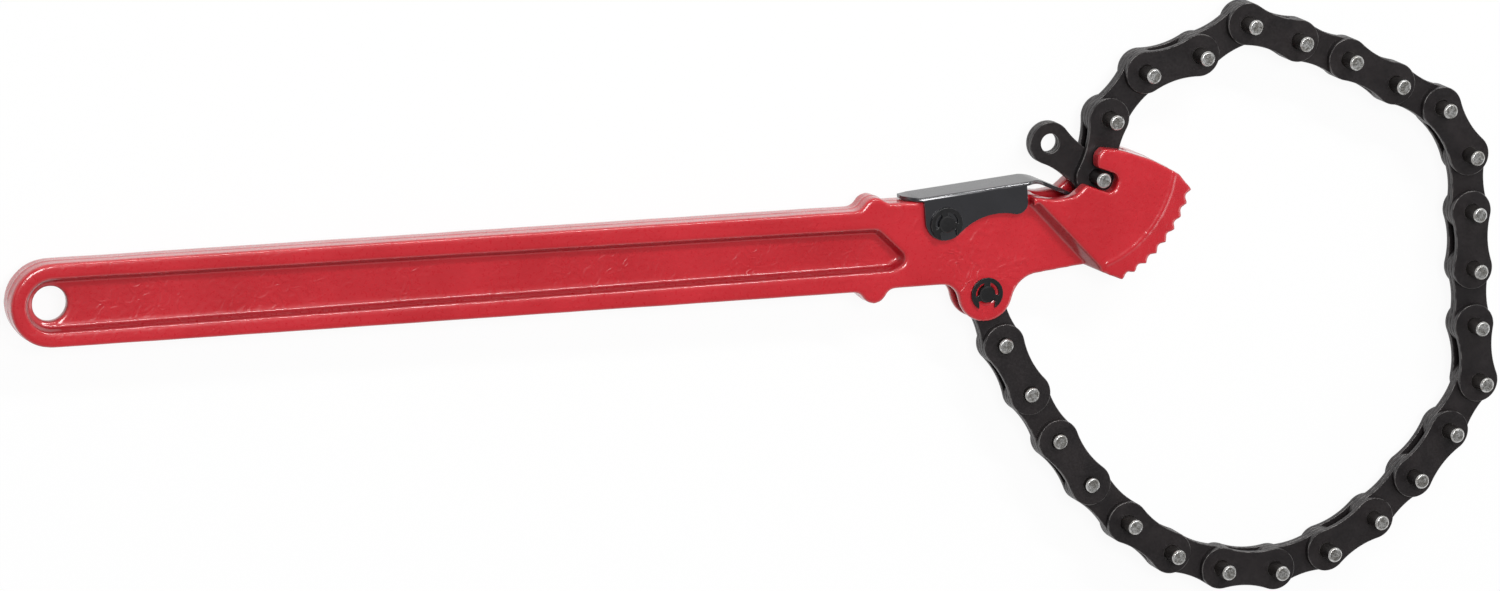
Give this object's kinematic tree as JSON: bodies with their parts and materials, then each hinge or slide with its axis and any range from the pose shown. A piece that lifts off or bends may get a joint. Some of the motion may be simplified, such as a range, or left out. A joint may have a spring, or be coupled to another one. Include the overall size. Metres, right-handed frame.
{
  "type": "chain pipe wrench",
  "caption": "Chain pipe wrench: recessed cast handle with a toothed jaw, a pinned leaf chain looped round to a hook notch, and a sprung sheet-metal keeper that guards the notch.",
  "frame": {"origin": "centre of the hang hole, halfway through the casting", "axes": "+X along the handle to the jaw, +Y to the side where the chain hooks in, +Z out of the face that the picture shows"},
  "size_m": [0.4179, 0.1627, 0.0184],
  "materials": {
    "red_enamel": "gloss",
    "black_oxide": "satin",
    "pin_steel": "ground",
    "spring_wire": "bright"
  },
  "bodies": {
    "handle": {"handle_jaw": "red_enamel", "anchor_pin": "black_oxide", "anchor_clips": "black_oxide", "keeper_pin": "black_oxide", "keeper_clips": "black_oxide", "keeper_spring": "spring_wire"},
    "keeper": {"keeper": "black_oxide"},
    "link_01": {"link_01_inner_plates": "black_oxide"},
    "link_02": {"link_02_outer_plates": "black_oxide", "link_02_pins": "pin_steel"},
    "link_03": {"link_03_inner_plates": "black_oxide"},
    "link_04": {"link_04_outer_plates": "black_oxide", "link_04_pins": "pin_steel"},
    "link_05": {"link_05_inner_plates": "black_oxide"},
    "link_06": {"link_06_outer_plates": "black_oxide", "link_06_pins": "pin_steel"},
    "link_07": {"link_07_inner_plates": "black_oxide"},
    "link_08": {"link_08_outer_plates": "black_oxide", "link_08_pins": "pin_steel"},
    "link_09": {"link_09_inner_plates": "black_oxide"},
    "link_10": {"link_10_outer_plates": "black_oxide", "link_10_pins": "pin_steel"},
    "link_11": {"link_11_inner_plates": "black_oxide"},
    "link_12": {"link_12_outer_plates": "black_oxide", "link_12_pins": "pin_steel"},
    "link_13": {"link_13_inner_plates": "black_oxide"},
    "link_14": {"link_14_outer_plates": "black_oxide", "link_14_pins": "pin_steel"},
    "link_15": {"link_15_inner_plates": "black_oxide"},
    "link_16": {"link_16_outer_plates": "black_oxide", "link_16_pins": "pin_steel"},
    "link_17": {"link_17_inner_plates": "black_oxide"},
    "link_18": {"link_18_outer_plates": "black_oxide", "link_18_pins": "pin_steel"},
    "link_19": {"link_19_inner_plates": "black_oxide"},
    "link_20": {"link_20_outer_plates": "black_oxide", "link_20_pins": "pin_steel"},
    "link_21": {"link_21_inner_plates": "black_oxide"},
    "link_22": {"link_22_outer_plates": "black_oxide", "link_22_pins": "pin_steel"},
    "link_23": {"link_23_inner_plates": "black_oxide"},
    "link_24": {"link_24_outer_plates": "black_oxide", "link_24_pins": "pin_steel"},
    "link_25": {"link_25_inner_plates": "black_oxide"},
    "link_26": {"link_26_outer_plates": "black_oxide", "link_26_pins": "pin_steel"},
    "link_27": {"link_27_inner_plates": "black_oxide"}
  },
  "joints": [
    {"name": "keeper_press", "type": "hinge", "parent": "handle", "child": "keeper", "pos_m": [0.2435, 0.0064, 0], "axis": [0, 0, 1], "range_deg": [-5, 0], "stiffness_Nm_per_rad": 0.1, "springref_deg": 5.73, "deforming": ["keeper_spring"]},
    {"name": "chain_unwrap", "type": "hinge", "parent": "handle", "child": "link_01", "pos_m": [0.2557, -0.0136, 0], "axis": [0, 0, 1], "range_deg": [-40, 0]},
    {"name": "pin_01_bend", "type": "hinge", "parent": "link_01", "child": "link_02", "pos_m": [0.2616, -0.02834, 0], "axis": [0, 0, 1], "range_deg": [0, 10]},
    {"name": "pin_02_bend", "type": "hinge", "parent": "link_02", "child": "link_03", "pos_m": [0.26926, -0.04224, 0], "axis": [0, 0, 1], "range_deg": [-13, 0]},
    {"name": "pin_03_bend", "type": "hinge", "parent": "link_03", "child": "link_04", "pos_m": [0.27763, -0.05573, 0], "axis": [0, 0, 1], "range_deg": [0, 10]},
    {"name": "pin_04_bend", "type": "hinge", "parent": "link_04", "child": "link_05", "pos_m": [0.28714, -0.06844, 0], "axis": [0, 0, 1], "range_deg": [-10, 0]},
    {"name": "pin_05_bend", "type": "hinge", "parent": "link_05", "child": "link_06", "pos_m": [0.29814, -0.07989, 0], "axis": [0, 0, 1], "range_deg": [0, 13]},
    {"name": "pin_06_bend", "type": "hinge", "parent": "link_06", "child": "link_07", "pos_m": [0.31095, -0.08926, 0], "axis": [0, 0, 1], "range_deg": [-10, 0]},
    {"name": "pin_07_bend", "type": "hinge", "parent": "link_07", "child": "link_08", "pos_m": [0.32585, -0.09474, 0], "axis": [0, 0, 1], "range_deg": [0, 16]},
    {"name": "pin_08_bend", "type": "hinge", "parent": "link_08", "child": "link_09", "pos_m": [0.34166, -0.09617, 0], "axis": [0, 0, 1], "range_deg": [-10, 0]},
    {"name": "pin_09_bend", "type": "hinge", "parent": "link_09", "child": "link_10", "pos_m": [0.35701, -0.09211, 0], "axis": [0, 0, 1], "range_deg": [0, 15]},
    {"name": "pin_10_bend", "type": "hinge", "parent": "link_10", "child": "link_11", "pos_m": [0.37078, -0.08421, 0], "axis": [0, 0, 1], "range_deg": [-10, 0]},
    {"name": "pin_11_bend", "type": "hinge", "parent": "link_11", "child": "link_12", "pos_m": [0.38242, -0.07342, 0], "axis": [0, 0, 1], "range_deg": [0, 14]},
    {"name": "pin_12_bend", "type": "hinge", "parent": "link_12", "child": "link_13", "pos_m": [0.39267, -0.06129, 0], "axis": [0, 0, 1], "range_deg": [0, 13]},
    {"name": "pin_13_bend", "type": "hinge", "parent": "link_13", "child": "link_14", "pos_m": [0.40112, -0.04785, 0], "axis": [0, 0, 1], "range_deg": [-16, 0]},
    {"name": "pin_14_bend", "type": "hinge", "parent": "link_14", "child": "link_15", "pos_m": [0.39943, -0.03207, 0], "axis": [0, 0, 1], "range_deg": [0, 16]},
    {"name": "pin_15_bend", "type": "hinge", "parent": "link_15", "child": "link_16", "pos_m": [0.39856, -0.01622, 0], "axis": [0, 0, 1], "range_deg": [0, 11]},
    {"name": "pin_16_bend", "type": "hinge", "parent": "link_16", "child": "link_17", "pos_m": [0.3977, -0.00036, 0], "axis": [0, 0, 1], "range_deg": [-10, 0]},
    {"name": "pin_17_bend", "type": "hinge", "parent": "link_17", "child": "link_18", "pos_m": [0.39656, 0.01547, 0], "axis": [0, 0, 1], "range_deg": [-18, 0]},
    {"name": "pin_18_bend", "type": "hinge", "parent": "link_18", "child": "link_19", "pos_m": [0.38812, 0.02891, 0], "axis": [0, 0, 1], "range_deg": [-23, 0]},
    {"name": "pin_19_bend", "type": "hinge", "parent": "link_19", "child": "link_20", "pos_m": [0.37409, 0.03634, 0], "axis": [0, 0, 1], "range_deg": [0, 10]},
    {"name": "pin_20_bend", "type": "hinge", "parent": "link_20", "child": "link_21", "pos_m": [0.36005, 0.04376, 0], "axis": [0, 0, 1], "range_deg": [-14, 0]},
    {"name": "pin_21_bend", "type": "hinge", "parent": "link_21", "child": "link_22", "pos_m": [0.34532, 0.04968, 0], "axis": [0, 0, 1], "range_deg": [0, 10]},
    {"name": "pin_22_bend", "type": "hinge", "parent": "link_22", "child": "link_23", "pos_m": [0.33039, 0.05508, 0], "axis": [0, 0, 1], "range_deg": [-44, 0]},
    {"name": "pin_23_bend", "type": "hinge", "parent": "link_23", "child": "link_24", "pos_m": [0.31652, 0.04735, 0], "axis": [0, 0, 1], "range_deg": [0, 11]},
    {"name": "pin_24_bend", "type": "hinge", "parent": "link_24", "child": "link_25", "pos_m": [0.30113, 0.04348, 0], "axis": [0, 0, 1], "range_deg": [-32, 0]},
    {"name": "pin_25_bend", "type": "hinge", "parent": "link_25", "child": "link_26", "pos_m": [0.29074, 0.03148, 0], "axis": [0, 0, 1], "range_deg": [-25, 0]},
    {"name": "tab_flip", "type": "hinge", "parent": "link_26", "child": "link_27", "pos_m": [0.2872, 0.016, 0], "axis": [0, 0, 1], "range_deg": [-18, 12]}
  ],
  "couplings": [
    {"joint": "pin_01_bend", "follows": "chain_unwrap", "ratio": -0.25},
    {"joint": "pin_02_bend", "follows": "chain_unwrap", "ratio": 0.325},
    {"joint": "pin_03_bend", "follows": "chain_unwrap", "ratio": -0.25},
    {"joint": "pin_04_bend", "follows": "chain_unwrap", "ratio": 0.25},
    {"joint": "pin_05_bend", "follows": "chain_unwrap", "ratio": -0.325},
    {"joint": "pin_06_bend", "follows": "chain_unwrap", "ratio": 0.25},
    {"joint": "pin_07_bend", "follows": "chain_unwrap", "ratio": -0.4},
    {"joint": "pin_08_bend", "follows": "chain_unwrap", "ratio": 0.25},
    {"joint": "pin_09_bend", "follows": "chain_unwrap", "ratio": -0.375},
    {"joint": "pin_10_bend", "follows": "chain_unwrap", "ratio": 0.25},
    {"joint": "pin_11_bend", "follows": "chain_unwrap", "ratio": -0.35},
    {"joint": "pin_12_bend", "follows": "chain_unwrap", "ratio": -0.325},
    {"joint": "pin_13_bend", "follows": "chain_unwrap", "ratio": 0.4},
    {"joint": "pin_14_bend", "follows": "chain_unwrap", "ratio": -0.4},
    {"joint": "pin_15_bend", "follows": "chain_unwrap", "ratio": -0.275},
    {"joint": "pin_16_bend", "follows": "chain_unwrap", "ratio": 0.25},
    {"joint": "pin_17_bend", "follows": "chain_unwrap", "ratio": 0.45},
    {"joint": "pin_18_bend", "follows": "chain_unwrap", "ratio": 0.575},
    {"joint": "pin_19_bend", "follows": "chain_unwrap", "ratio": -0.25},
    {"joint": "pin_20_bend", "follows": "chain_unwrap", "ratio": 0.35},
    {"joint": "pin_21_bend", "follows": "chain_unwrap", "ratio": -0.25},
    {"joint": "pin_22_bend", "follows": "chain_unwrap", "ratio": 1.1},
    {"joint": "pin_23_bend", "follows": "chain_unwrap", "ratio": -0.275},
    {"joint": "pin_24_bend", "follows": "chain_unwrap", "ratio": 0.8},
    {"joint": "pin_25_bend", "follows": "chain_unwrap", "ratio": 0.625}
  ]
}
